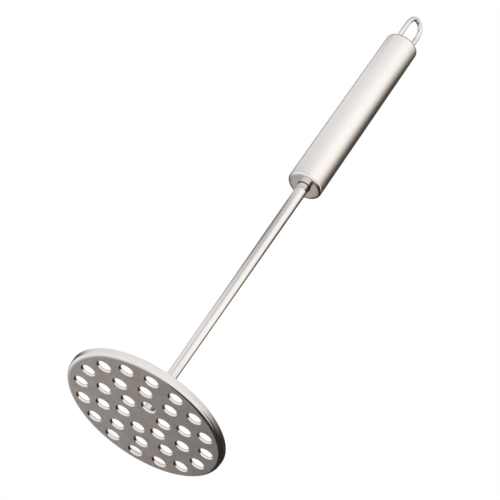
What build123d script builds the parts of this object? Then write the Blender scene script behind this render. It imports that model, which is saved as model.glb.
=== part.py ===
# Potato masher, all in stainless steel.
# A round perforated plate with a low upturned rim is welded to a tapered rod. The rod
# runs up into a hollow handle, where a plug holds it, and a wire loop closes the top.
# Millimetres. +Z runs up the rod, and the origin is the centre of the plate's flat
# underside. The hanging loop lies in the XZ plane, so its eye opens along Y.

import os
from math import asin, degrees, sqrt

from build123d import *

# Mashing plate
plate_thickness = 1.2
rim_radius = 42.9  # where the outsides of the rim and of the face would meet
rim_flare = 0.3  # how much wider the rim is at its open edge
rim_height = 4.2
rim_inner_bend_radius = 0.8
rim_edge_rounding_share = 0.3  # of the sheet
hole_diameter = 8.0
hole_margin = 2.1  # from the outer holes to the start of the rim's bend
hole_rounding_share = 0.2  # of the sheet
ring_hole_counts = (6, 10, 16)
ring_angles = (50.4, 2.4, 20.3)

# Stem rod
stem_foot_diameter = 5.2
stem_neck_diameter = 6.5
stem_visible_length = 162.4
stem_end_stand = 1.4
stem_end_rounding = 0.4

# Handle tube, rolled in over the lower cap and cut square round the upper one
handle_length = 114.2
handle_lower_diameter = 19.4
handle_upper_diameter = 18.8
handle_wall = 0.8
lip_reach = 1.6
lip_inner_bend_radius = 0.7
handle_top_rounding = 0.3

# End caps, pressed as shallow cups; the lower one has a raised panel that fills the lip
cap_thickness = 0.6
cap_skirt_height = 5.0
cap_inner_bend_radius = 0.2
cap_clearance = 0.05
panel_clearance = 0.1
panel_recess = 0.05
panel_rounding = 0.25
upper_cap_inset = 0.3
stem_gap = 0.5
loop_hole_clearance = 0.08

# Plug inside the handle
plug_length = 14.0
plug_chamfer = 0.6
plug_clearance = 0.03
stem_fit_clearance = 0.02

# Hanging loop, bent from wire
wire_diameter = 2.7
loop_leg_margin = 1.1  # between a leg and the skirt of the cap beside it
loop_height = 23.2  # from the end of the handle to the top of the loop
loop_side_share = 2.67  # radius of the sides of the arch, of half the loop's width
loop_crown_share = 0.88  # radius of its top, of the same
loop_tail = 3.6

# Weld beads
foot_weld_leg = 2.0
anchor_weld_leg = 1.2
loop_weld_clearance = 0.05
loop_weld_land_share = 0.2

hole_radius = hole_diameter / 2
wire_radius = wire_diameter / 2
stem_foot_radius = stem_foot_diameter / 2
stem_neck_radius = stem_neck_diameter / 2
rim_bend_radius = rim_inner_bend_radius + plate_thickness
rim_top_radius = rim_radius + rim_flare
lip_bend_radius = lip_inner_bend_radius + handle_wall
cap_bend_radius = cap_inner_bend_radius + cap_thickness

# Heights along the axis, from the plate's underside up
handle_bottom = plate_thickness + stem_visible_length
handle_top = handle_bottom + handle_length
lower_cap_face = handle_bottom + handle_wall
panel_face = handle_bottom + panel_recess
upper_cap_face = handle_top - upper_cap_inset
plug_bottom = lower_cap_face + cap_skirt_height
plug_top = plug_bottom + plug_length
stem_top = plug_top + stem_end_stand
upper_cap_inside = upper_cap_face - cap_thickness
loop_foot = upper_cap_inside - loop_tail
loop_top = handle_top + loop_height


def handle_radius(z):
    """Outside radius of the tapering handle at height z."""
    rise = (z - handle_bottom) / handle_length
    return (handle_lower_diameter + (handle_upper_diameter - handle_lower_diameter) * rise) / 2


def stem_radius(z):
    """Radius of the rod at height z, tapering only where it can be seen."""
    rise = min((z - plate_thickness) / stem_visible_length, 1)
    return stem_foot_radius + (stem_neck_radius - stem_foot_radius) * rise


# The plate is one stamping: a flat face, a rounded bend and a slightly flared rim
rim_corner = (rim_radius, 0)
rim_inner_corner = (rim_radius - plate_thickness, plate_thickness)
rim_outer_edge = (rim_top_radius, rim_height)
rim_inner_edge = (rim_top_radius - plate_thickness, rim_height)

with BuildPart() as mashing_plate:
    with BuildSketch(Plane.XZ) as plate_section:
        with BuildLine():
            Polyline(
                (0, 0),
                rim_corner,
                rim_outer_edge,
                rim_inner_edge,
                rim_inner_corner,
                (0, plate_thickness),
                close=True,
            )
        make_face()
        levels = plate_section.vertices().group_by(Axis.Y)
        fillet(levels[0].sort_by(Axis.X)[-1], radius=rim_bend_radius)
        fillet(levels[1].sort_by(Axis.X)[-1], radius=rim_inner_bend_radius)
        rim_edge = plate_section.vertices().group_by(Axis.Y)[-1]
        fillet(rim_edge, radius=plate_thickness * rim_edge_rounding_share)
    revolve(axis=Axis.Z)

    # Rings of punched holes, evenly spaced outwards from the rod
    outer_ring_radius = rim_radius - rim_bend_radius - hole_margin - hole_radius
    ring_pitch = outer_ring_radius / len(ring_hole_counts)
    for ring, (count, angle) in enumerate(zip(ring_hole_counts, ring_angles), start=1):
        with Locations((0, 0, plate_thickness)):
            with PolarLocations(ring * ring_pitch, count, start_angle=angle):
                Hole(radius=hole_radius)
    rims = mashing_plate.edges().filter_by(GeomType.CIRCLE)
    hole_edges = rims.filter_by(lambda edge: edge.radius <= hole_radius)
    fillet(hole_edges, radius=plate_thickness * hole_rounding_share)

# The rod tapers from the handle down to its foot on the plate
with BuildPart() as stem_rod:
    with BuildSketch(Plane.XZ):
        with BuildLine():
            Polyline(
                (0, plate_thickness),
                (stem_foot_radius, plate_thickness),
                (stem_neck_radius, handle_bottom),
                (stem_neck_radius, stem_top),
                (0, stem_top),
                close=True,
            )
        make_face()
    revolve(axis=Axis.Z)
    chamfer(stem_rod.edges().group_by(Axis.Z)[-1], length=stem_end_rounding)

# Fillet weld round the rod's foot, hollow like a polished bead
weld_top = plate_thickness + foot_weld_leg

with BuildPart() as stem_foot_weld:
    with BuildSketch(Plane.XZ):
        with BuildLine():
            inside = Line((stem_foot_radius, plate_thickness), (stem_radius(weld_top), weld_top))
            underside = Line(inside @ 0, (stem_foot_radius + foot_weld_leg, plate_thickness))
            RadiusArc(underside @ 1, inside @ 1, radius=-foot_weld_leg * sqrt(2))
        make_face()
    revolve(axis=Axis.Z)

# Thin tube whose lower end is rolled in as a lip that holds the cap there
lip_radius = handle_radius(handle_bottom) - lip_reach

with BuildPart() as handle_tube:
    with BuildSketch(Plane.XZ) as tube_section:
        with BuildLine():
            Polyline(
                (lip_radius, handle_bottom),
                (handle_radius(handle_bottom), handle_bottom),
                (handle_radius(handle_top), handle_top),
                (handle_radius(handle_top) - handle_wall, handle_top),
                (handle_radius(lower_cap_face) - handle_wall, lower_cap_face),
                (lip_radius, lower_cap_face),
                close=True,
            )
        make_face()
        levels = tube_section.vertices().group_by(Axis.Y)
        fillet(levels[0].sort_by(Axis.X)[-1], radius=lip_bend_radius)
        fillet(levels[1].sort_by(Axis.X)[-1], radius=lip_inner_bend_radius)
        fillet(levels[-1].sort_by(Axis.X)[-1], radius=handle_top_rounding)
    revolve(axis=Axis.Z)


def bore_radius(low, high):
    """Inside radius of the handle where it is narrowest between two heights."""
    return min(handle_radius(low), handle_radius(high)) - handle_wall


# Lower cap: a cup behind the lip, whose panel comes down through the lip and has a hole
# that clears the rod all round
lower_cap_radius = bore_radius(lower_cap_face, plug_bottom) - cap_clearance
panel_radius = lip_radius - panel_clearance
cap_hole_radius = stem_neck_radius + stem_gap
cap_corner = (lower_cap_radius, lower_cap_face)
cap_inner_corner = (lower_cap_radius - cap_thickness, lower_cap_face + cap_thickness)
panel_corner = (panel_radius, panel_face)

with BuildPart() as lower_end_cap:
    with BuildSketch(Plane.XZ) as cap_section:
        with BuildLine():
            Polyline(
                (cap_hole_radius, panel_face),
                panel_corner,
                (panel_radius, lower_cap_face),
                cap_corner,
                (lower_cap_radius, plug_bottom),
                (lower_cap_radius - cap_thickness, plug_bottom),
                cap_inner_corner,
                (panel_radius - cap_thickness, lower_cap_face + cap_thickness),
                (panel_radius - cap_thickness, panel_face + cap_thickness),
                (cap_hole_radius, panel_face + cap_thickness),
                close=True,
            )
        make_face()
        fillet(cap_section.vertices().sort_by_distance(cap_corner)[0], radius=cap_bend_radius)
        inner_bend = cap_section.vertices().sort_by_distance(cap_inner_corner)[0]
        fillet(inner_bend, radius=cap_inner_bend_radius)
        fillet(cap_section.vertices().sort_by_distance(panel_corner)[0], radius=panel_rounding)
    revolve(axis=Axis.Z)

# Plug pressed into the tube on top of the lower cap, bored for the rod
plug_radius = bore_radius(plug_bottom, plug_top) - plug_clearance

with BuildPart() as stem_anchor_plug:
    with BuildSketch(Plane.XY.offset(plug_bottom)):
        Circle(plug_radius)
        Circle(stem_neck_radius + stem_fit_clearance, mode=Mode.SUBTRACT)
    extrude(amount=plug_length)
    plug_rims = stem_anchor_plug.edges().filter_by(GeomType.CIRCLE)
    chamfer(plug_rims.filter_by(lambda edge: edge.radius > stem_neck_radius * 2), length=plug_chamfer)

# Bead that ties the end of the rod to the plug
with BuildPart() as stem_anchor_weld:
    with BuildSketch(Plane.XZ):
        with BuildLine():
            Polyline(
                (stem_neck_radius, plug_top),
                (stem_neck_radius + anchor_weld_leg, plug_top),
                (stem_neck_radius, stem_top - stem_end_rounding),
                close=True,
            )
        make_face()
    revolve(axis=Axis.Z)

# Upper cap: a plain cup upside down, with a hole for each leg of the loop
upper_cap_radius = bore_radius(upper_cap_face - cap_skirt_height, upper_cap_face) - cap_clearance
loop_leg_x = upper_cap_radius - cap_thickness - loop_leg_margin - wire_radius

with BuildPart() as upper_end_cap:
    with BuildSketch(Plane.XY.offset(upper_cap_face)):
        Circle(upper_cap_radius)
    extrude(amount=-cap_skirt_height)
    upper_face = upper_end_cap.faces().sort_by(Axis.Z)[-1]
    fillet(upper_face.edges(), radius=cap_bend_radius)
    with BuildSketch(Plane.XY.offset(upper_cap_inside)):
        Circle(upper_cap_radius - cap_thickness)
    extrude(amount=cap_thickness - cap_skirt_height, mode=Mode.SUBTRACT)
    upper_roof = upper_end_cap.faces().filter_by(Axis.Z).sort_by(Axis.Z)[-2]
    fillet(upper_roof.edges(), radius=cap_inner_bend_radius)
    with BuildSketch(Plane.XY.offset(upper_cap_face)):
        with Locations((loop_leg_x, 0), (-loop_leg_x, 0)):
            Circle(wire_radius + loop_hole_clearance)
    extrude(amount=-cap_thickness, mode=Mode.SUBTRACT)

# The loop's arch is a wide arc on each side and a tight one over the top, all tangent
side_radius = loop_leg_x * loop_side_share
crown_radius = loop_leg_x * loop_crown_share
centre_distance = side_radius - crown_radius
crown_centre_rise = sqrt(centre_distance**2 - (side_radius - loop_leg_x) ** 2)
side_turn = degrees(asin(crown_centre_rise / centre_distance))
arch_foot = loop_top - wire_radius - crown_radius - crown_centre_rise

with BuildPart() as hanging_loop:
    with BuildLine(Plane.XZ) as loop_path:
        first_leg = Line((loop_leg_x, loop_foot), (loop_leg_x, arch_foot))
        first_side = JernArc(first_leg @ 1, first_leg % 1, side_radius, side_turn)
        crown = JernArc(first_side @ 1, first_side % 1, crown_radius, 180 - 2 * side_turn)
        last_side = JernArc(crown @ 1, crown % 1, side_radius, side_turn)
        Line(last_side @ 1, (-loop_leg_x, loop_foot))
    with BuildSketch(Plane(origin=loop_path.line @ 0, z_dir=loop_path.line % 0)):
        Circle(wire_radius)
    sweep()

# A bead under the cap round each leg of the loop
loop_weld_leg = loop_leg_margin - cap_inner_bend_radius - loop_weld_clearance

with BuildPart() as loop_leg_welds:
    with BuildSketch(Plane.XY.offset(upper_cap_inside)):
        with Locations((loop_leg_x, 0), (-loop_leg_x, 0)):
            Circle(wire_radius + loop_weld_leg)
            Circle(wire_radius, mode=Mode.SUBTRACT)
    extrude(amount=-loop_weld_leg)
    bead_ends = loop_leg_welds.edges().group_by(Axis.Z)[0]
    outer_ends = bead_ends.filter_by(lambda edge: edge.radius > wire_radius)
    chamfer(outer_ends, length=loop_weld_leg * (1 - loop_weld_land_share))

pieces = {
    "mashing_plate": mashing_plate,
    "stem_rod": stem_rod,
    "stem_foot_weld": stem_foot_weld,
    "handle_tube": handle_tube,
    "lower_end_cap": lower_end_cap,
    "stem_anchor_plug": stem_anchor_plug,
    "stem_anchor_weld": stem_anchor_weld,
    "upper_end_cap": upper_end_cap,
    "hanging_loop": hanging_loop,
    "loop_leg_welds": loop_leg_welds,
}

os.makedirs("parts", exist_ok=True)
for name, piece in pieces.items():
    piece.part.label = name
    export_step(piece.part, f"parts/{name}.step")
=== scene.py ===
"""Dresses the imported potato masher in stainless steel: a satin plate with punched holes,
a drawn rod, a brushed handle and a polished wire loop, on a pale stage in soft light."""

from math import cos, pi, radians, sin

import bpy
from bpy.props import (
    FloatProperty,
    FloatVectorProperty,
    IntProperty,
    IntVectorProperty,
    PointerProperty,
)
from bpy.types import Operator, Panel, PropertyGroup
from mathutils import Matrix, Vector


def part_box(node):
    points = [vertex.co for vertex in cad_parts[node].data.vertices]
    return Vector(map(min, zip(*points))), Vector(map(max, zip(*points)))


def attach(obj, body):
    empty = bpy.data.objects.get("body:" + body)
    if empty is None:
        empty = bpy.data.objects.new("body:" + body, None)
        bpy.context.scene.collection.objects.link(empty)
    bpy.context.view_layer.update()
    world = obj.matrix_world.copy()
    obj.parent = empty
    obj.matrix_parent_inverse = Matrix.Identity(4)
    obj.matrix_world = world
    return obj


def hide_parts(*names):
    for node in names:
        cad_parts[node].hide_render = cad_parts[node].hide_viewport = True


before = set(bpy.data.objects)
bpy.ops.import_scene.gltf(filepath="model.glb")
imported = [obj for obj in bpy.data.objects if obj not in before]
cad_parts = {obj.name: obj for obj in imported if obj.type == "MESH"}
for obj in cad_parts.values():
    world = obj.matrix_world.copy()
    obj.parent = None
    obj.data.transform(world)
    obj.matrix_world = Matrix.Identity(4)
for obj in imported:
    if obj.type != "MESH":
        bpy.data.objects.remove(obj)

bl_info = {
    "name": "Potato masher",
    "version": (1, 0, 0),
    "blender": (4, 5, 0),
    "location": "View3D > Sidebar > Masher",
    "description": "Builds a stainless steel potato masher around its packed solids",
    "category": "Object",
}

MM = 0.001
BODY = "root"
# Points nearer to each other than a gap are merged, and steeper edges than this stay sharp
SEAM_GAP = 3e-6
WIRE_JOINT_GAP = 1e-5
CREASE_ANGLE = radians(40)
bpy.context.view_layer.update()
PLATE_LOW, PLATE_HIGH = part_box("mashing_plate")
WELD_LOW, WELD_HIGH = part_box("stem_foot_weld")
LOOP_LOW, LOOP_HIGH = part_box("hanging_loop")


# Sizes and colours that a user would change


class PlateSizes(PropertyGroup):
    thickness: FloatProperty(
        name="Sheet thickness", description="Thickness of the stamped sheet",
        default=1.2 * MM, unit="LENGTH")
    rim_radius: FloatProperty(
        name="Rim radius", description="Where the outsides of the rim and the face would meet",
        default=42.9 * MM, unit="LENGTH")
    rim_flare: FloatProperty(
        name="Rim flare", description="How much wider the rim is at its open edge",
        default=0.3 * MM, unit="LENGTH")
    rim_height: FloatProperty(
        name="Rim height", description="From the underside of the face to the rim's edge",
        default=PLATE_HIGH.z - PLATE_LOW.z, unit="LENGTH")
    bend_radius: FloatProperty(
        name="Inner bend radius", description="Inside radius of the bend between face and rim",
        default=0.8 * MM, unit="LENGTH")
    rim_rounding: FloatProperty(
        name="Rim edge rounding", description="Radius worn on the rim's edge",
        default=0.36 * MM, unit="LENGTH")
    hole_diameter: FloatProperty(
        name="Hole diameter", description="Diameter of each punched hole",
        default=8 * MM, unit="LENGTH")
    hole_margin: FloatProperty(
        name="Hole margin", description="From the outer holes to the start of the bend",
        default=2.1 * MM, unit="LENGTH")
    hole_rounding: FloatProperty(
        name="Hole edge rounding", description="Radius the punch leaves on a hole's edges",
        default=0.24 * MM, unit="LENGTH")
    hole_taper: FloatProperty(
        name="Hole taper", description="How far a hole's wall leans in towards the plate's top",
        default=0.92 * MM, unit="LENGTH")
    ring_holes: IntVectorProperty(
        name="Holes in each ring", description="Number of holes, from the inner ring outwards",
        default=(6, 10, 16))
    ring_angles: FloatVectorProperty(
        name="Turn of each ring", description="Angle of each ring's first hole from the X axis",
        default=(radians(50.4), radians(2.4), radians(20.3)), unit="ROTATION")


class WeldSizes(PropertyGroup):
    leg: FloatProperty(
        name="Bead leg", description="Width and height of the bead round the rod's foot",
        default=WELD_HIGH.z - WELD_LOW.z, unit="LENGTH")
    ripples: IntProperty(
        name="Ripples", description="Number of ripples the welder leaves round the bead",
        default=22)
    ripple_depth: FloatProperty(
        name="Ripple depth", description="Height of a ripple over the bead's surface",
        default=0.07 * MM, unit="LENGTH")
    seed: IntProperty(
        name="Seed", description="Seed of the bead's unevenness", default=7)


class LoopSizes(PropertyGroup):
    wire_diameter: FloatProperty(
        name="Wire diameter", description="Diameter of the bent wire",
        default=LOOP_HIGH.y - LOOP_LOW.y, unit="LENGTH")
    side_share: FloatProperty(
        name="Side bend", description="Radius of the arch's sides, of half the loop's width",
        default=2.67)
    crown_share: FloatProperty(
        name="Crown bend", description="Radius of the arch's top, of half the loop's width",
        default=0.88)


class SteelColours(PropertyGroup):
    plate: FloatVectorProperty(
        name="Plate", description="Colour of the plate's satin face", subtype="COLOR",
        default=(0.6, 0.545, 0.51))
    rim: FloatVectorProperty(
        name="Rim", description="Colour of the plate's polished rim", subtype="COLOR",
        default=(0.8, 0.785, 0.77))
    rod: FloatVectorProperty(
        name="Rod", description="Colour of the drawn rod", subtype="COLOR",
        default=(0.82, 0.8, 0.79))
    handle: FloatVectorProperty(
        name="Handle", description="Colour of the brushed handle", subtype="COLOR",
        default=(0.82, 0.8, 0.78))
    cap: FloatVectorProperty(
        name="Caps", description="Colour of the pressed end caps", subtype="COLOR",
        default=(0.76, 0.71, 0.68))
    wire: FloatVectorProperty(
        name="Wire", description="Colour of the polished loop", subtype="COLOR",
        default=(0.82, 0.8, 0.79))
    weld: FloatVectorProperty(
        name="Weld", description="Colour of a brushed weld bead", subtype="COLOR",
        default=(0.66, 0.63, 0.59))
    plug: FloatVectorProperty(
        name="Plug", description="Colour of the turned plug inside the handle", subtype="COLOR",
        default=(0.5, 0.49, 0.48))


class StageSettings(PropertyGroup):
    view_bearing: FloatProperty(
        name="View bearing", description="Direction of view round the Z axis, from the X axis",
        default=radians(53.27), unit="ROTATION")
    view_rise: FloatProperty(
        name="View rise", description="How far the view looks up from below the plate",
        default=radians(32.58), unit="ROTATION")
    view_roll: FloatProperty(
        name="View roll", description="Turn of the camera about its own line of view",
        default=radians(35.03), unit="ROTATION")
    view_distance: FloatProperty(
        name="View distance", description="From the camera to the point it looks at",
        default=1012.4 * MM, unit="LENGTH")
    view_target: FloatVectorProperty(
        name="View target", description="The point that the camera looks at",
        default=(-3.22 * MM, 2.4 * MM, 112.37 * MM), unit="LENGTH")
    lens: FloatProperty(
        name="Focal length", description="Focal length in millimetres on a 36 mm sensor",
        default=143.85)
    floor_radius: FloatProperty(
        name="Floor radius", description="Radius of the pale round floor",
        default=2.5, unit="LENGTH")


class MasherSettings(PropertyGroup):
    plate: PointerProperty(
        name="Plate", description="Sizes of the mashing plate", type=PlateSizes)
    weld: PointerProperty(
        name="Weld", description="Sizes of the weld at the rod's foot", type=WeldSizes)
    loop: PointerProperty(
        name="Loop", description="Sizes of the hanging loop", type=LoopSizes)
    steel: PointerProperty(
        name="Steel", description="Colours of the steel", type=SteelColours)
    stage: PointerProperty(
        name="Stage", description="Camera and floor", type=StageSettings)


# Node trees, written as arithmetic


def emptied(holder):
    """The node tree of a material or a world, with nothing in it."""
    holder.use_nodes = True
    holder.node_tree.nodes.clear()
    return holder.node_tree


def opaque(colour):
    """A colour with the fourth value that its socket asks for."""
    return (*colour, 1)


class Link:
    """A node's output that takes part in Python arithmetic."""

    def __init__(self, wiring, socket):
        self.wiring, self.socket = wiring, socket

    def __add__(self, other):
        return self.wiring.math("ADD", self, other)

    __radd__ = __add__

    def __sub__(self, other):
        return self.wiring.math("SUBTRACT", self, other)

    def __rsub__(self, other):
        return self.wiring.math("SUBTRACT", other, self)

    def __mul__(self, other):
        return self.wiring.math("MULTIPLY", self, other)

    __rmul__ = __mul__

    def __truediv__(self, other):
        return self.wiring.math("DIVIDE", self, other)

    def output(self, name):
        """Another output of the same node."""
        return Link(self.wiring, self.socket.node.outputs[name])


class Wiring:
    """Adds nodes to one shader or geometry tree."""

    def __init__(self, tree):
        self.tree = tree

    def node(self, kind, settings=None, sockets=None):
        """Adds a node: first its settings, then the values or links of its sockets."""
        node = self.tree.nodes.new(kind)
        for name, value in (settings or {}).items():
            if name == "stops":
                self.set_stops(node.color_ramp, value)
            elif name == "items":
                while len(node.index_switch_items) < value:
                    node.index_switch_items.new()
            else:
                setattr(node, name, value)
        for key, value in (sockets or {}).items():
            for source in value if isinstance(value, list) else [value]:
                if isinstance(source, Link):
                    self.tree.links.new(source.socket, node.inputs[key])
                else:
                    node.inputs[key].default_value = source
        return Link(self, node.outputs[0]) if node.outputs else None

    @staticmethod
    def set_stops(ramp, stops):
        """Gives a colour ramp its (position, colour) stops."""
        while len(ramp.elements) < len(stops):
            ramp.elements.new(1)
        for element, (position, colour) in zip(ramp.elements, stops):
            element.position, element.color = position, opaque(colour)

    def math(self, operation, *values):
        """One step of arithmetic on single values."""
        return self.node("ShaderNodeMath", {"operation": operation}, dict(enumerate(values)))

    def fade(self, value, low, high):
        """Rises smoothly from 0 where the value is low to 1 where it is high."""
        return self.node(
            "ShaderNodeMapRange", {"interpolation_type": "SMOOTHSTEP"},
            {"Value": value, "From Min": low, "From Max": high})

    def mixed(self, share, first, second):
        """The first colour where the share is 0, and the second where it is 1."""
        return self.node(
            "ShaderNodeMix", {"data_type": "RGBA"}, {0: share, 6: first, 7: second}).output(2)

    def ramp(self, stops, share):
        """The colour that the stops give to a share of the way."""
        return self.node("ShaderNodeValToRGB", {"stops": stops}, {"Fac": share})

    def vector(self, x, y, z):
        """Three values as one vector."""
        return self.node("ShaderNodeCombineXYZ", {}, {0: x, 1: y, 2: z})

    def axes(self, vector):
        """A vector's three values."""
        x = self.node("ShaderNodeSeparateXYZ", {}, {0: vector})
        return x, x.output("Y"), x.output("Z")

    def radius(self, x, y):
        """Distance from the Z axis."""
        return self.math("SQRT", x * x + y * y)


class Recipe(Wiring):
    """A Geometry Nodes tree whose named inputs are the sizes of one piece."""

    def __init__(self, name):
        super().__init__(bpy.data.node_groups.new(name, "GeometryNodeTree"))
        self.tree.interface.new_socket(
            "Geometry", in_out="OUTPUT", socket_type="NodeSocketGeometry")
        self.group_input = self.tree.nodes.new("NodeGroupInput")
        self.values = {}

    def size(self, name, value):
        """Adds a named input and keeps the value it gets on the piece."""
        kind = "NodeSocketInt" if isinstance(value, int) else "NodeSocketFloat"
        entry = self.tree.interface.new_socket(name, in_out="INPUT", socket_type=kind)
        self.values[entry.identifier] = value
        return Link(self, self.group_input.outputs[name])

    def pick(self, kind, choices):
        """Gives each point the choice that has its index."""
        index = self.node("GeometryNodeInputIndex")
        sockets = {place + 1: choice for place, choice in enumerate(choices)}
        return self.node(
            "GeometryNodeIndexSwitch", {"data_type": kind, "items": len(choices)},
            {0: index, **sockets})

    def section(self, corners, steps):
        """A line in the XZ plane through corners of (radius, height, rounding)."""
        places = [self.vector(radius, 0.0, height) for radius, height, _ in corners]
        points = self.node(
            "GeometryNodePoints", {},
            {"Count": len(corners), "Position": self.pick("VECTOR", places)})
        line = self.node("GeometryNodePointsToCurves", {}, {0: points})
        roundings = self.pick("FLOAT", [rounding for *_, rounding in corners])
        return self.node(
            "GeometryNodeFilletCurve", {"mode": "POLY"},
            {"Curve": line, "Count": steps, "Radius": roundings, "Limit Radius": True})

    def turned(self, section, steps):
        """Turns a section once round the Z axis, and stores each row's share of the way."""
        rows = self.node(
            "GeometryNodeAttributeDomainSize", {"component": "CURVE"}, {"Geometry": section})
        grid = self.node(
            "GeometryNodeMeshGrid", {},
            {"Size X": 1.0, "Size Y": 1.0, "Vertices X": steps + 1, "Vertices Y": rows})
        place = self.node("GeometryNodeInputPosition")
        x, y, _ = self.axes(place)
        angle, share = (x + 0.5) * (2 * pi), y + 0.5
        sampled = self.node(
            "GeometryNodeSampleIndex", {"data_type": "FLOAT_VECTOR"},
            {"Geometry": section, "Value": place,
             "Index": self.math("ROUND", share * (rows - 1))})
        radius, _, height = self.axes(sampled)
        around = self.vector(
            radius * self.math("COSINE", angle), radius * self.math("SINE", angle), height)
        marked = self.node(
            "GeometryNodeStoreNamedAttribute", {"data_type": "FLOAT_VECTOR"},
            {"Geometry": grid, "Name": "turn", "Value": self.vector(angle, share, 0.0)})
        return self.node(
            "GeometryNodeSetPosition", {}, {"Geometry": marked, "Position": around})

    def moved(self, shape, place, turn=(0.0, 0.0, 0.0)):
        """Turns a shape about the axes, then moves it to its place."""
        return self.node(
            "GeometryNodeTransform", {},
            {"Geometry": shape, "Translation": place, "Rotation": turn})

    def joined(self, shapes):
        """Several shapes as one, in their order."""
        return self.node("GeometryNodeJoinGeometry", {}, {0: list(reversed(shapes))})

    def realized(self, shape):
        """Instances as a mesh or curves of their own."""
        return self.node("GeometryNodeRealizeInstances", {}, {0: shape})

    def welded(self, shape, gap):
        """Merges the points that lie nearer to each other than the gap."""
        return self.node(
            "GeometryNodeMergeByDistance", {}, {"Geometry": shape, "Distance": gap})

    def stored(self, name):
        """Reads a vector that turned() stored."""
        return self.node(
            "GeometryNodeInputNamedAttribute", {"data_type": "FLOAT_VECTOR"}, {"Name": name})

    def make(self, name, shape, material):
        """Finishes the tree, runs it and returns the piece as a plain mesh object."""
        smooth = self.node(
            "GeometryNodeSetShadeSmooth", {"domain": "FACE"},
            {"Geometry": self.realized(shape), "Shade Smooth": True})
        angle = self.node("GeometryNodeInputMeshEdgeAngle")
        creased = self.node(
            "GeometryNodeSetShadeSmooth", {"domain": "EDGE"},
            {"Geometry": smooth, "Shade Smooth": False,
             "Selection": self.math("GREATER_THAN", angle, CREASE_ANGLE)})
        finished = self.node(
            "GeometryNodeSetMaterial", {}, {"Geometry": creased, "Material": material})
        self.node("NodeGroupOutput", {}, {0: finished})

        piece = bpy.data.objects.new(name, bpy.data.meshes.new(name))
        bpy.context.collection.objects.link(piece)
        modifier = piece.modifiers.new("Recipe", "NODES")
        modifier.node_group = self.tree
        for identifier, value in self.values.items():
            modifier[identifier] = value
        normals = piece.modifiers.new("Even shading", "WEIGHTED_NORMAL")
        normals.keep_sharp = True
        graph = bpy.context.evaluated_depsgraph_get()
        mesh = bpy.data.meshes.new_from_object(piece.evaluated_get(graph), depsgraph=graph)
        piece.modifiers.clear()
        piece.data = mesh
        if not mesh.polygons:
            raise RuntimeError(f"{name} came out empty")
        return piece


class Finish(Wiring):
    """A steel material built node by node over Object coordinates."""

    def __init__(self, name):
        self.material = bpy.data.materials.new(name)
        super().__init__(emptied(self.material))
        self.place = self.node("ShaderNodeTexCoord").output("Object")
        self.x, self.y, self.z = self.axes(self.place)
        self.from_axis = self.radius(self.x, self.y)

    def noise(self, vector, scale, detail=2.0, roughness=0.5):
        """Soft patches, their scale counted to the metre."""
        return self.node(
            "ShaderNodeTexNoise", {},
            {"Vector": vector, "Scale": scale, "Detail": detail, "Roughness": roughness})

    def lines(self, along, across):
        """Fine lines that run along the Z axis, with their length and their pitch."""
        stretched = self.vector(self.x / across, self.y / across, self.z / along)
        return self.noise(stretched, 1.0, detail=3.0)

    def shade(self, colour, strength):
        """A colour made lighter and darker by a strength round 1."""
        return self.node(
            "ShaderNodeMix", {"data_type": "RGBA", "blend_type": "MULTIPLY"},
            {0: 1.0, 6: opaque(colour),
             7: self.vector(strength, strength, strength)}).output(2)

    def steel(self, colour, roughness, height, relief):
        """The metal itself, with a height in metres and a share of it as its relief."""
        bump = self.node(
            "ShaderNodeBump", {}, {"Strength": relief, "Distance": 1.0, "Height": height})
        shader = self.node(
            "ShaderNodeBsdfPrincipled", {},
            {"Base Color": colour, "Roughness": roughness, "Metallic": 1.0, "Normal": bump})
        self.node("ShaderNodeOutputMaterial", {}, {"Surface": shader})
        return self.material


# Dark steel for the top of each hole's wall (a punch tear, with painted shade in the hole) and
# for a band at the handle's top end, and the tints of a weld from its middle outwards
TORN_AND_SHADED_STEEL = (0.22, 0.21, 0.2)
DARK_TOP_END_STEEL = (0.2, 0.19, 0.185)
HEAT_TINTS = [
    (0.0, (0.66, 0.63, 0.59)), (0.45, (0.62, 0.56, 0.46)), (0.62, (0.5, 0.43, 0.42)),
    (0.8, (0.42, 0.46, 0.56)), (1.0, (0.62, 0.6, 0.57))]


def plate_finish(colours, sizes):
    """Satin face with rolling marks, a bright rim, and holes sheared bright, torn dull and
    darkened near their top by painted shade.
    """
    finish = Finish("plate_satin_steel")
    rolled, crossed = 5000.0, 900.0
    grain = finish.noise(
        finish.vector(finish.x * rolled, finish.y * crossed, finish.z * rolled), 1.0, detail=3.0)
    clouds = finish.noise(finish.place, 90.0, detail=4.0, roughness=0.6)
    patches = finish.noise(finish.place, 420.0, detail=3.0)
    specks = finish.noise(finish.place, 1900.0)
    polish = finish.node("ShaderNodeAttribute", {"attribute_name": "polish"}).output("Fac")
    bend_start, bend_full = sizes.rim_radius - 2.1 * MM, sizes.rim_radius - 1.2 * MM
    bright = finish.math(
        "MAXIMUM", finish.fade(finish.from_axis, bend_start, bend_full), polish)
    face = finish.shade(colours.plate, 0.51 + clouds * 0.45 + patches * 0.4 + specks * 0.12)
    colour = finish.mixed(bright, face, opaque(colours.rim))
    # The top of each hole's wall is darkened almost to black: a torn punch edge, made darker
    # still as painted shade inside the hole.
    tear_shade_start, tear_shade_full = sizes.thickness - 0.4 * MM, sizes.thickness - 0.28 * MM
    torn_and_shade = polish * finish.fade(finish.z, tear_shade_start, tear_shade_full)
    colour = finish.mixed(torn_and_shade * 0.8, colour, opaque(TORN_AND_SHADED_STEEL))
    satin = 0.33 + clouds * 0.1 + grain * 0.06
    roughness = satin * (1 - bright) + bright * (0.12 + clouds * 0.05)
    height = (grain * 0.5 + specks * 0.8) * (1 - bright * 0.85)
    return finish.steel(colour, roughness, height * 2e-6, 0.5)


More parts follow.
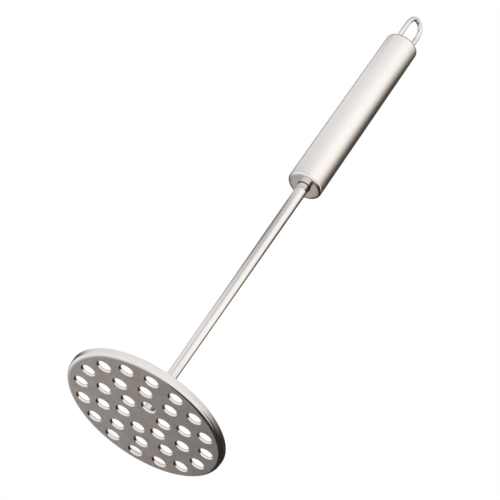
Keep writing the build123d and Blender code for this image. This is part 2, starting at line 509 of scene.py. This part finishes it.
def rod_finish(colours):
    """Bright drawn rod with faint lines along it."""
    finish = Finish("rod_drawn_steel")
    drawn = finish.lines(along=14 * MM, across=0.16 * MM)
    smears = finish.noise(finish.place, 60.0, detail=3.0)
    colour = finish.shade(colours.rod, 0.95 + drawn * 0.06 + smears * 0.04)
    return finish.steel(colour, 0.1 + smears * 0.06 + drawn * 0.03, drawn * 1e-6, 0.6)


def handle_finish(colours, low, high):
    """Brushed along its length, with a bright rolled lip, a darkened band at its top end and
    faint handling marks.
    """
    finish = Finish("handle_brushed_steel")
    brushed = finish.lines(along=9 * MM, across=0.11 * MM)
    coarse = finish.lines(along=22 * MM, across=0.5 * MM)
    smears = finish.noise(finish.place, 45.0, detail=3.0)
    above_lip = finish.fade(finish.z, low + 0.6 * MM, low + 1.6 * MM)
    past_edge = finish.fade(finish.z, high - 0.4 * MM, high - 0.1 * MM)
    between = finish.math("MINIMUM", above_lip, 1 - past_edge)
    colour = finish.shade(
        colours.handle, 0.93 + brushed * 0.06 + coarse * 0.04 + smears * 0.03)
    # A band at the tube's top end is darkened almost to black.
    dark_top_end = finish.fade(finish.z, high - 0.75 * MM, high - 0.5 * MM)
    colour = finish.mixed(dark_top_end * 0.8, colour, opaque(DARK_TOP_END_STEEL))
    satin = 0.2 + smears * 0.06 + brushed * 0.04
    roughness = satin * between + (1 - between) * 0.14
    return finish.steel(colour, roughness, (brushed + coarse) * 1.2e-6, 0.6)


def cap_finish(colours):
    """Half-bright pressed cap with rings from the press and a fine grain."""
    finish = Finish("cap_pressed_steel")
    rings = finish.noise(finish.vector(finish.from_axis, 0.0, 0.0), 3200.0)
    specks = finish.noise(finish.place, 1500.0, detail=3.0, roughness=0.6)
    colour = finish.shade(colours.cap, 0.86 + specks * 0.22 + rings * 0.06)
    return finish.steel(colour, 0.11 + specks * 0.08, rings * 6e-7 + specks * 9e-7, 0.6)


def wire_finish(colours):
    """Polished wire with the faint unevenness of a bend."""
    finish = Finish("loop_polished_steel")
    smears = finish.noise(finish.place, 150.0, detail=3.0)
    grain = finish.noise(finish.place, 2600.0)
    colour = finish.shade(colours.wire, 0.95 + smears * 0.08)
    return finish.steel(colour, 0.1 + smears * 0.06 + grain * 0.03, grain * 6e-7, 0.5)


def weld_finish(colours):
    """Brushed bead, tinted straw and blue where the heat went out into the metal."""
    finish = Finish("weld_tinted_steel")
    blotches = finish.noise(finish.place, 420.0, detail=4.0, roughness=0.6)
    outwards = finish.fade(finish.from_axis, 2.6 * MM, 5.2 * MM)
    heat = finish.ramp(HEAT_TINTS, outwards * 0.8 + blotches * 0.2)
    colour = finish.mixed(0.45, opaque(colours.weld), heat)
    return finish.steel(colour, 0.24 + blotches * 0.2, blotches * 4e-6, 0.6)


def plug_finish(colours):
    """Plain turned steel with tool rings."""
    finish = Finish("plug_turned_steel")
    rings = finish.noise(finish.vector(finish.from_axis, finish.z, 0.0), 2600.0, detail=1.0)
    colour = finish.shade(colours.plug, 0.85 + rings * 0.3)
    return finish.steel(colour, 0.34 + rings * 0.1, rings * 2e-6, 0.7)


def settings():
    """The sizes, colours and stage that the sidebar shows."""
    return bpy.context.scene.masher


def paint(node, material):
    """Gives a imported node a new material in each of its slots."""
    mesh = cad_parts[node].data
    for place in range(len(mesh.materials)):
        mesh.materials[place] = material
    if not len(mesh.materials):
        mesh.materials.append(material)


def seat(piece, node):
    """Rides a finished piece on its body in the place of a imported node."""
    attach(piece, BODY)
    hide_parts(node)


# One operator for each piece or group of like pieces


class MASHER_OT_plate(Operator):
    """Make the perforated mashing plate with its upturned rim"""

    bl_idname = "masher.plate"
    bl_label = "Mashing plate"

    def execute(self, context):
        sizes = settings().plate
        recipe = Recipe("Perforated plate")
        sheet = recipe.size("Sheet thickness", sizes.thickness)
        rim = recipe.size("Rim radius", sizes.rim_radius)
        rim_top = rim + recipe.size("Rim flare", sizes.rim_flare)
        height = recipe.size("Rim height", sizes.rim_height)
        inner_bend = recipe.size("Inner bend radius", sizes.bend_radius)
        edge = recipe.size("Rim edge rounding", sizes.rim_rounding)
        hole = recipe.size("Hole diameter", sizes.hole_diameter) / 2
        margin = recipe.size("Hole margin", sizes.hole_margin)
        rounding = recipe.size("Hole edge rounding", sizes.hole_rounding)
        rim_steps = recipe.size("Steps round the rim", 288)
        hole_steps = recipe.size("Steps round a hole", 56)
        outer_bend = inner_bend + sheet
        face = rim - outer_bend
        far_edge = hole - recipe.size("Hole taper", sizes.hole_taper)
        collar = hole + rounding
        pitch = (face - margin - hole) / len(sizes.ring_holes)

        bend_steps, edge_steps = 9, 5
        rim_section = recipe.section(
            [(face, 0.0, 0.0), (rim, 0.0, outer_bend), (rim_top, height, edge),
             (rim_top - sheet, height, edge), (rim - sheet, sheet, inner_bend),
             (face, sheet, 0.0)], bend_steps)
        rim_shape = recipe.turned(rim_section, rim_steps)

        wall_section = recipe.section(
            [(collar, sheet, 0.0), (far_edge, sheet, rounding),
             (hole, 0.0, rounding), (collar, 0.0, 0.0)], edge_steps)
        x, y, _ = recipe.axes(recipe.node("GeometryNodeInputPosition"))
        satin_again = recipe.fade(
            recipe.radius(x, y), hole + rounding * 0.05, hole + rounding * 0.4)
        wall = recipe.node(
            "GeometryNodeStoreNamedAttribute", {"data_type": "FLOAT"},
            {"Geometry": recipe.turned(wall_section, hole_steps), "Name": "polish",
             "Value": 1 - satin_again})

        centres = []
        for ring, (count, angle) in enumerate(zip(sizes.ring_holes, sizes.ring_angles), 1):
            count_in = recipe.size(f"Holes in ring {ring}", count)
            angle_in = recipe.size(f"Turn of ring {ring}", angle)
            index = recipe.node("GeometryNodeInputIndex")
            bearing = angle_in + index * (2 * pi) / count_in
            place = recipe.vector(
                pitch * ring * recipe.math("COSINE", bearing),
                pitch * ring * recipe.math("SINE", bearing), 0.0)
            centres.append(recipe.node(
                "GeometryNodePoints", {}, {"Count": count_in, "Position": place}))
        centres = recipe.joined(centres)

        walls = recipe.node(
            "GeometryNodeInstanceOnPoints", {}, {"Points": centres, "Instance": wall})
        ring_curve = recipe.node(
            "GeometryNodeCurvePrimitiveCircle", {},
            {"Resolution": hole_steps, "Radius": collar})
        rings = recipe.node(
            "GeometryNodeInstanceOnPoints", {}, {"Points": centres, "Instance": ring_curve})
        border = recipe.node(
            "GeometryNodeCurvePrimitiveCircle", {}, {"Resolution": rim_steps, "Radius": face})
        outline = recipe.joined([border, recipe.realized(rings)])
        flat = recipe.node("GeometryNodeFillCurve", {}, {"Curve": outline})
        underside = recipe.node("GeometryNodeFlipFaces", {}, {"Mesh": flat})
        top = recipe.moved(flat, recipe.vector(0.0, 0.0, sheet))
        shape = recipe.joined([rim_shape, top, underside, recipe.realized(walls)])
        piece = recipe.make(
            "mashing_plate_perforated", recipe.welded(shape, SEAM_GAP),
            plate_finish(settings().steel, sizes))
        seat(piece, "mashing_plate")
        return {"FINISHED"}


class MASHER_OT_rod(Operator):
    """Finish the drawn rod and make the rippled weld round its foot"""

    bl_idname = "masher.rod"
    bl_label = "Rod and foot weld"

    def execute(self, context):
        steel, sizes = settings().steel, settings().weld
        paint("stem_rod", rod_finish(steel))
        recipe = Recipe("Weld bead")
        leg = recipe.size("Bead leg", sizes.leg)
        foot = recipe.size("Rod radius", WELD_HIGH.x - sizes.leg)
        low = recipe.size("Height of the plate's top", WELD_LOW.z)
        ripples = recipe.size("Ripples", sizes.ripples)
        depth = recipe.size("Ripple depth", sizes.ripple_depth)
        seed = recipe.size("Seed", sizes.seed)
        hollow, hollow_radius, hollow_steps, turn_steps = leg * 0.36, leg * 0.7, 14, 176
        section = recipe.section(
            [(foot, low, 0.0), (foot + leg, low, 0.0),
             (foot + hollow, low + hollow, hollow_radius),
             (foot, low + leg, 0.0), (foot, low, 0.0)], hollow_steps)
        bead = recipe.turned(section, turn_steps)
        angle, share, _ = recipe.axes(recipe.stored("turn"))
        place = recipe.node("GeometryNodeInputPosition")
        x, y, _ = recipe.axes(place)
        radius = recipe.radius(x, y)
        off_rod = recipe.fade(radius, foot + leg * 0.06, foot + leg * 0.3)
        at_plate = recipe.fade(radius, foot + leg * 0.75, foot + leg * 0.97)
        uneven = recipe.node(
            "ShaderNodeTexNoise", {"noise_dimensions": "4D"},
            {"Vector": place, "W": seed * 1.0, "Scale": 650.0, "Detail": 1.0})
        slant, wander, mean_height = 5.0, 1.5, 0.6
        wave = recipe.math("ABSOLUTE", recipe.math(
            "SINE", angle * ripples / 2 + share * slant + uneven * wander))
        rise = (wave + uneven - mean_height) * depth * (off_rod * (1 - at_plate))
        offset = recipe.node(
            "ShaderNodeVectorMath", {"operation": "SCALE"},
            {0: recipe.node("GeometryNodeInputNormal"), "Scale": rise})
        bead = recipe.node("GeometryNodeSetPosition", {}, {"Geometry": bead, "Offset": offset})
        piece = recipe.make(
            "stem_foot_weld_bead", recipe.welded(bead, SEAM_GAP), weld_finish(steel))
        seat(piece, "stem_foot_weld")
        return {"FINISHED"}


class MASHER_OT_handle(Operator):
    """Finish the brushed handle tube and its two end caps"""

    bl_idname = "masher.handle"
    bl_label = "Handle and caps"

    def execute(self, context):
        steel = settings().steel
        low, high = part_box("handle_tube")
        paint("handle_tube", handle_finish(steel, low.z, high.z))
        caps = cap_finish(steel)
        paint("lower_end_cap", caps)
        paint("upper_end_cap", caps)
        return {"FINISHED"}


class MASHER_OT_anchor(Operator):
    """Finish the plug and the beads hidden inside the handle"""

    bl_idname = "masher.anchor"
    bl_label = "Plug and hidden beads"

    def execute(self, context):
        steel = settings().steel
        paint("stem_anchor_plug", plug_finish(steel))
        beads = weld_finish(steel)
        paint("stem_anchor_weld", beads)
        paint("loop_leg_welds", beads)
        return {"FINISHED"}


class MASHER_OT_loop(Operator):
    """Bend the hanging loop from polished wire"""

    bl_idname = "masher.loop"
    bl_label = "Hanging loop"

    def execute(self, context):
        sizes = settings().loop
        recipe = Recipe("Bent wire loop")
        wire = recipe.size("Wire diameter", sizes.wire_diameter) / 2
        leg_x = recipe.size("Leg offset", LOOP_HIGH.x) - wire
        foot = recipe.size("Height of the legs' ends", LOOP_LOW.z)
        top = recipe.size("Height of the loop's top", LOOP_HIGH.z)
        side = leg_x * recipe.size("Side bend", sizes.side_share)
        crown = leg_x * recipe.size("Crown bend", sizes.crown_share)
        reach = side - crown
        rise = recipe.math("SQRT", reach * reach - (side - leg_x) * (side - leg_x))
        turn = recipe.math("ARCSINE", rise / reach)
        arch_foot = top - wire - crown - rise
        arc_steps, wire_steps, wire_length = 24, 40, 0.3 * MM

        def arc(radius, start, sweep, x, z):
            """A bend of the wire in the XZ plane, round a centre."""
            curve = recipe.node(
                "GeometryNodeCurveArc", {},
                {"Resolution": arc_steps, "Radius": radius, "Start Angle": start,
                 "Sweep Angle": sweep})
            return recipe.moved(curve, recipe.vector(x, 0.0, z), (pi / 2, 0.0, 0.0))

        def straight(x):
            """A leg of the wire, from its end up to the arch."""
            return recipe.node(
                "GeometryNodeCurvePrimitiveLine", {},
                {"Start": recipe.vector(x, 0.0, foot), "End": recipe.vector(x, 0.0, arch_foot)})

        path = recipe.joined([
            straight(leg_x),
            arc(side, 0.0, turn, leg_x - side, arch_foot),
            arc(crown, turn, pi - turn * 2, 0.0, arch_foot + rise),
            arc(side, pi - turn, turn, side - leg_x, arch_foot),
            straight(0 - leg_x)])
        edges = recipe.node("GeometryNodeCurveToMesh", {}, {"Curve": path})
        line = recipe.node(
            "GeometryNodeMeshToCurve", {}, {"Mesh": recipe.welded(edges, WIRE_JOINT_GAP)})
        even = recipe.node(
            "GeometryNodeResampleCurve", {"mode": "LENGTH"},
            {"Curve": line, "Length": wire_length})
        round_wire = recipe.node(
            "GeometryNodeCurvePrimitiveCircle", {}, {"Resolution": wire_steps, "Radius": wire})
        shape = recipe.node(
            "GeometryNodeCurveToMesh", {},
            {"Curve": even, "Profile Curve": round_wire, "Fill Caps": True})
        piece = recipe.make("hanging_loop_wire", shape, wire_finish(settings().steel))
        seat(piece, "hanging_loop")
        return {"FINISHED"}


class MASHER_OT_stage(Operator):
    """Set up the camera, the pale floor, the wall of tones and the view settings"""

    bl_idname = "masher.stage"
    bl_label = "Stage"

    def execute(self, context):
        stage = settings().stage
        place_camera(context.scene, stage)
        lay_floor(stage)
        light_surroundings(context.scene, stage)
        stand_wall(stage)
        context.scene.view_settings.view_transform = "Standard"
        return {"FINISHED"}


def place_camera(scene, stage):
    """Looks up at the masher from below its plate, as it lies in the picture."""
    view = Vector((
        cos(stage.view_rise) * cos(stage.view_bearing),
        cos(stage.view_rise) * sin(stage.view_bearing),
        sin(stage.view_rise)))
    level = view.cross(Vector((0, 0, 1))).normalized()
    upright = level.cross(view)
    right = level * cos(stage.view_roll) + upright * sin(stage.view_roll)
    up = right.cross(view)
    camera = bpy.data.objects.new("Camera", bpy.data.cameras.new("Camera"))
    scene.collection.objects.link(camera)
    camera.data.lens = stage.lens
    camera.data.sensor_width = 36
    camera.data.clip_end = 20
    turned = Matrix((right, up, -view)).transposed().to_4x4()
    place = Vector(stage.view_target) - view * stage.view_distance
    camera.matrix_world = Matrix.Translation(place) @ turned
    scene.camera = camera


def bearing_of(wiring, x, y, stage):
    """Bearing round the Z axis from the camera's side, from -1 through 0 to 1."""
    back = stage.view_bearing + pi
    ahead = x * cos(back) + y * sin(back)
    aside = y * cos(back) - x * sin(back)
    return wiring.math("ARCTAN2", aside, ahead) / pi


WHITE = (1, 1, 1)
FLOOR_TONE = (0.86, 0.86, 0.86)
OVERHEAD_TONE = (0.8, 0.79, 0.79)
BEHIND_TONE = (0.09, 0.088, 0.085)

# Tones round the masher by bearing, from behind over one side, the camera and the other side
DEEP_TONES = [
    (0.0, (0.38, 0.37, 0.36)), (0.12, (0.42, 0.41, 0.4)), (0.17, (0.9, 0.88, 0.87)),
    (0.5, (1.0, 0.98, 0.97)), (0.69, (1.0, 0.97, 0.95)), (0.745, (0.04, 0.038, 0.035)),
    (0.985, (0.02, 0.019, 0.018)), (1.0, (0.25, 0.24, 0.235))]
FACE_TONES = [
    (0.0, (0.42, 0.405, 0.395)), (0.03, (0.43, 0.41, 0.4)), (0.06, (0.56, 0.545, 0.53)),
    (0.1, (0.9, 0.88, 0.87)), (0.5, (1.0, 0.98, 0.97)), (0.69, (1.0, 0.97, 0.95)),
    (0.745, (0.02, 0.019, 0.018)), (0.96, (0.015, 0.014, 0.013)), (0.98, (0.34, 0.325, 0.315)),
    (1.0, (0.42, 0.405, 0.395))]
CAP_TONES = [
    (0.0, (0.49, 0.465, 0.445)), (0.06, (0.49, 0.465, 0.445)), (0.1, (0.9, 0.88, 0.87)),
    (0.5, (1.15, 1.13, 1.1)), (0.62, (1.15, 1.11, 1.06)), (0.67, (0.025, 0.023, 0.021)),
    (0.93, (0.02, 0.019, 0.018)), (0.955, (0.45, 0.43, 0.41)), (1.0, (0.49, 0.465, 0.445))]
LOW_TONES = [
    (0.0, (0.5, 0.48, 0.47)), (0.07, (0.5, 0.48, 0.47)), (0.1, (0.9, 0.9, 0.9)),
    (0.5, (0.9, 0.9, 0.9)), (0.64, (0.85, 0.84, 0.83)), (0.7, (0.02, 0.02, 0.018)),
    (0.955, (0.02, 0.02, 0.018)), (0.98, (0.3, 0.29, 0.28)), (1.0, (0.5, 0.48, 0.47))]
SKIRT_TONES = [
    (0.0, (0.05, 0.05, 0.055)), (0.15, (0.07, 0.07, 0.08)), (0.19, (0.9, 0.88, 0.89)),
    (0.5, (1.0, 0.97, 0.97)), (0.65, (0.95, 0.92, 0.9)), (0.71, (0.3, 0.28, 0.26)),
    (0.77, (0.022, 0.02, 0.019)), (1.0, (0.012, 0.011, 0.01))]
HOLE_TONES = [
    (0.0, (0.05, 0.05, 0.055)), (0.1, (0.07, 0.07, 0.08)), (0.17, (0.8, 0.79, 0.8)),
    (0.48, (0.95, 0.92, 0.92)), (0.54, (0.8, 0.77, 0.77)), (0.58, (0.06, 0.056, 0.053)),
    (1.0, (0.015, 0.015, 0.014))]
LOW_ROD_TONES = [
    (0.0, (0.2, 0.2, 0.21)), (0.09, (0.3, 0.3, 0.31)), (0.14, (0.85, 0.83, 0.86)),
    (0.29, (0.93, 0.9, 0.92)), (0.36, (0.93, 0.9, 0.92)), (0.395, (0.68, 0.65, 0.67)),
    (0.435, (0.68, 0.65, 0.66)), (0.475, (0.98, 0.95, 0.94)), (0.53, (1.15, 1.11, 1.1)),
    (0.7, (1.16, 1.14, 1.1)), (0.755, (1.13, 1.11, 1.04)), (0.785, (0.75, 0.73, 0.62)),
    (0.815, (0.2, 0.19, 0.14)), (0.86, (0.07, 0.065, 0.05)), (1.0, (0.04, 0.038, 0.035))]
HIGH_ROD_TONES = [
    (0.0, (0.04, 0.04, 0.045)), (0.15, (0.05, 0.05, 0.055)), (0.21, (0.32, 0.315, 0.31)),
    (0.245, (0.48, 0.475, 0.465)), (0.36, (0.56, 0.55, 0.55)), (0.43, (0.68, 0.66, 0.67)),
    (0.48, (0.95, 0.92, 0.92)), (0.53, (1.13, 1.08, 1.07)), (0.66, (1.14, 1.1, 1.05)),
    (0.7, (1.06, 1.03, 0.94)), (0.735, (0.7, 0.68, 0.58)), (0.765, (0.3, 0.29, 0.23)),
    (0.8, (0.08, 0.078, 0.06)), (1.0, (0.04, 0.038, 0.035))]
HANDLE_TONES = [
    (0.0, (0.05, 0.05, 0.055)), (0.075, (0.07, 0.07, 0.08)), (0.11, (0.85, 0.84, 0.86)),
    (0.2, (0.91, 0.89, 0.89)), (0.27, (0.91, 0.88, 0.88)), (0.36, (0.98, 0.96, 0.955)),
    (0.44, (1.08, 1.06, 1.06)), (0.52, (1.18, 1.16, 1.16)), (0.58, (1.21, 1.19, 1.17)),
    (0.63, (1.15, 1.12, 1.07)), (0.67, (0.95, 0.9, 0.84)), (0.71, (0.62, 0.57, 0.5)),
    (0.75, (0.3, 0.27, 0.235)), (0.79, (0.08, 0.072, 0.062)), (0.83, (0.03, 0.027, 0.024)),
    (1.0, (0.012, 0.011, 0.011))]
LOOP_TONES = [
    (0.0, (0.05, 0.05, 0.055)), (0.2, (0.07, 0.07, 0.08)), (0.24, (0.8, 0.79, 0.82)),
    (0.46, (0.86, 0.84, 0.85)), (0.5, (1.05, 1.03, 1.01)), (0.66, (1.08, 1.05, 1.02)),
    (0.78, (0.9, 0.87, 0.82)), (0.83, (0.25, 0.24, 0.21)), (1.0, (0.08, 0.075, 0.07))]

# Each band of tones begins at the first height and is whole at the second, in metres
TONE_BANDS = [
    (-0.26, -0.22, FACE_TONES), (-0.115, -0.1, CAP_TONES), (-0.025, -0.01, LOW_TONES),
    (0.03, 0.042, SKIRT_TONES), (0.108, 0.12, HOLE_TONES), (0.168, 0.178, LOW_ROD_TONES),
    (0.225, 0.33, HIGH_ROD_TONES), (0.352, 0.362, HANDLE_TONES), (0.53, 0.538, LOOP_TONES)]


def light_surroundings(scene, stage):
    """Tones overhead and far below for reflections; plain white for the camera and floor."""
    world = bpy.data.worlds.new("Soft surroundings")
    wiring = Wiring(emptied(world))
    x, y, z = wiring.axes(wiring.node("ShaderNodeTexCoord"))
    bearing = bearing_of(wiring, x, y, stage)
    path = wiring.node("ShaderNodeLightPath")
    below = wiring.ramp(DEEP_TONES, bearing * 0.5 + 0.5)
    far_side = wiring.fade(wiring.math("ABSOLUTE", bearing), 0.55, 0.7)
    straight_up = wiring.fade(z, 0.93, 0.98)
    above = wiring.mixed(
        far_side * (1 - straight_up), opaque(OVERHEAD_TONE), opaque(BEHIND_TONE))
    over_horizon = wiring.fade(z, -0.02, 0.02)
    reflected = wiring.mixed(over_horizon, below, above)
    colour = wiring.mixed(path.output("Is Glossy Ray"), opaque(WHITE), reflected)
    background = wiring.node("ShaderNodeBackground", {}, {"Color": colour})
    wiring.node("ShaderNodeOutputWorld", {}, {"Surface": background})
    scene.world = world


def sheet_object(name, corners, faces, material):
    """A thin sheet of the stage that casts no shadow and adds no light of its own."""
    mesh = bpy.data.meshes.new(name)
    mesh.from_pydata(corners, [], faces)
    mesh.materials.append(material)
    sheet = bpy.data.objects.new(name, mesh)
    bpy.context.collection.objects.link(sheet)
    sheet.visible_diffuse = False
    sheet.visible_shadow = False
    sheet.visible_transmission = False
    return sheet


def ring_of(radius, height, steps):
    """Corners evenly spaced round the Z axis."""
    return [
        (radius * cos(2 * pi * step / steps), radius * sin(2 * pi * step / steps), height)
        for step in range(steps)]


def lay_floor(stage):
    """A pale floor that shows only from above, and not in reflections."""
    material = bpy.data.materials.new("pale_floor")
    wiring = Wiring(emptied(material))
    geometry = wiring.node("ShaderNodeNewGeometry")
    x, y, _ = wiring.axes(geometry)
    matt = wiring.node("ShaderNodeBsdfDiffuse", {}, {"Color": opaque(FLOOR_TONE)})
    glow = wiring.node("ShaderNodeEmission", {}, {"Color": opaque(WHITE)})
    outwards = wiring.fade(wiring.radius(x, y), 0.25, 1.1)
    seen = wiring.node("ShaderNodeMixShader", {}, {0: outwards, 1: matt, 2: glow})
    clear = wiring.node("ShaderNodeBsdfTransparent")
    one_sided = wiring.node(
        "ShaderNodeMixShader", {},
        {0: geometry.output("Backfacing"), 1: seen, 2: clear})
    wiring.node("ShaderNodeOutputMaterial", {}, {"Surface": one_sided})

    steps, just_below = 96, -0.05 * MM
    edge = ring_of(stage.floor_radius, just_below, steps)
    floor = sheet_object("Floor", edge, [tuple(range(steps))], material)
    floor.visible_glossy = False


def stand_wall(stage):
    """A round wall that only reflections see, with a band of tones for each height of steel."""
    material = bpy.data.materials.new("wall_of_tones")
    wiring = Wiring(emptied(material))
    x, y, z = wiring.axes(wiring.node("ShaderNodeNewGeometry"))
    share = bearing_of(wiring, x, y, stage) * 0.5 + 0.5
    tone = wiring.ramp(DEEP_TONES, share)
    for first, whole, stops in TONE_BANDS:
        band = wiring.ramp(stops, share)
        tone = wiring.mixed(wiring.fade(z, first, whole), tone, band)
    glow = wiring.node("ShaderNodeEmission", {}, {"Color": tone})
    wiring.node("ShaderNodeOutputMaterial", {}, {"Surface": glow})

    radius, bottom, top, steps = 0.3, -0.3, 0.66, 120
    corners = ring_of(radius, bottom, steps) + ring_of(radius, top, steps)
    faces = [
        (step, step + steps, (step + 1) % steps + steps, (step + 1) % steps)
        for step in range(steps)]
    wall = sheet_object("Wall of tones", corners, faces, material)
    wall.visible_camera = False


OPERATORS = (
    MASHER_OT_plate,
    MASHER_OT_rod,
    MASHER_OT_handle,
    MASHER_OT_anchor,
    MASHER_OT_loop,
    MASHER_OT_stage,
)


class MASHER_PT_sidebar(Panel):
    """Lists the masher's pieces and their sizes"""

    bl_idname = "MASHER_PT_sidebar"
    bl_label = "Potato masher"
    bl_space_type = "VIEW_3D"
    bl_region_type = "UI"
    bl_category = "Masher"

    def draw(self, context):
        """One button for each operator, then each group of settings."""
        for operator in OPERATORS:
            self.layout.operator(operator.bl_idname)
        for part in ("plate", "weld", "loop", "steel", "stage"):
            group = getattr(context.scene.masher, part)
            box = self.layout.box()
            box.label(text=part.capitalize())
            for name in group.__annotations__:
                box.prop(group, name)


CLASSES = (
    PlateSizes, WeldSizes, LoopSizes, SteelColours, StageSettings, MasherSettings,
    *OPERATORS, MASHER_PT_sidebar,
)


def register():
    """Makes the settings, operators and sidebar known to Blender."""
    for kind in CLASSES:
        bpy.utils.register_class(kind)
    bpy.types.Scene.masher = PointerProperty(
        name="Potato masher", description="Sizes, colours and stage", type=MasherSettings)


def unregister():
    """Takes them away again."""
    del bpy.types.Scene.masher
    for kind in reversed(CLASSES):
        bpy.utils.unregister_class(kind)


def main():
    """Makes every piece and the stage."""
    register()
    for operator in OPERATORS:
        group, name = operator.bl_idname.split(".")
        getattr(getattr(bpy.ops, group), name)()


if __name__ == "__main__":
    main()
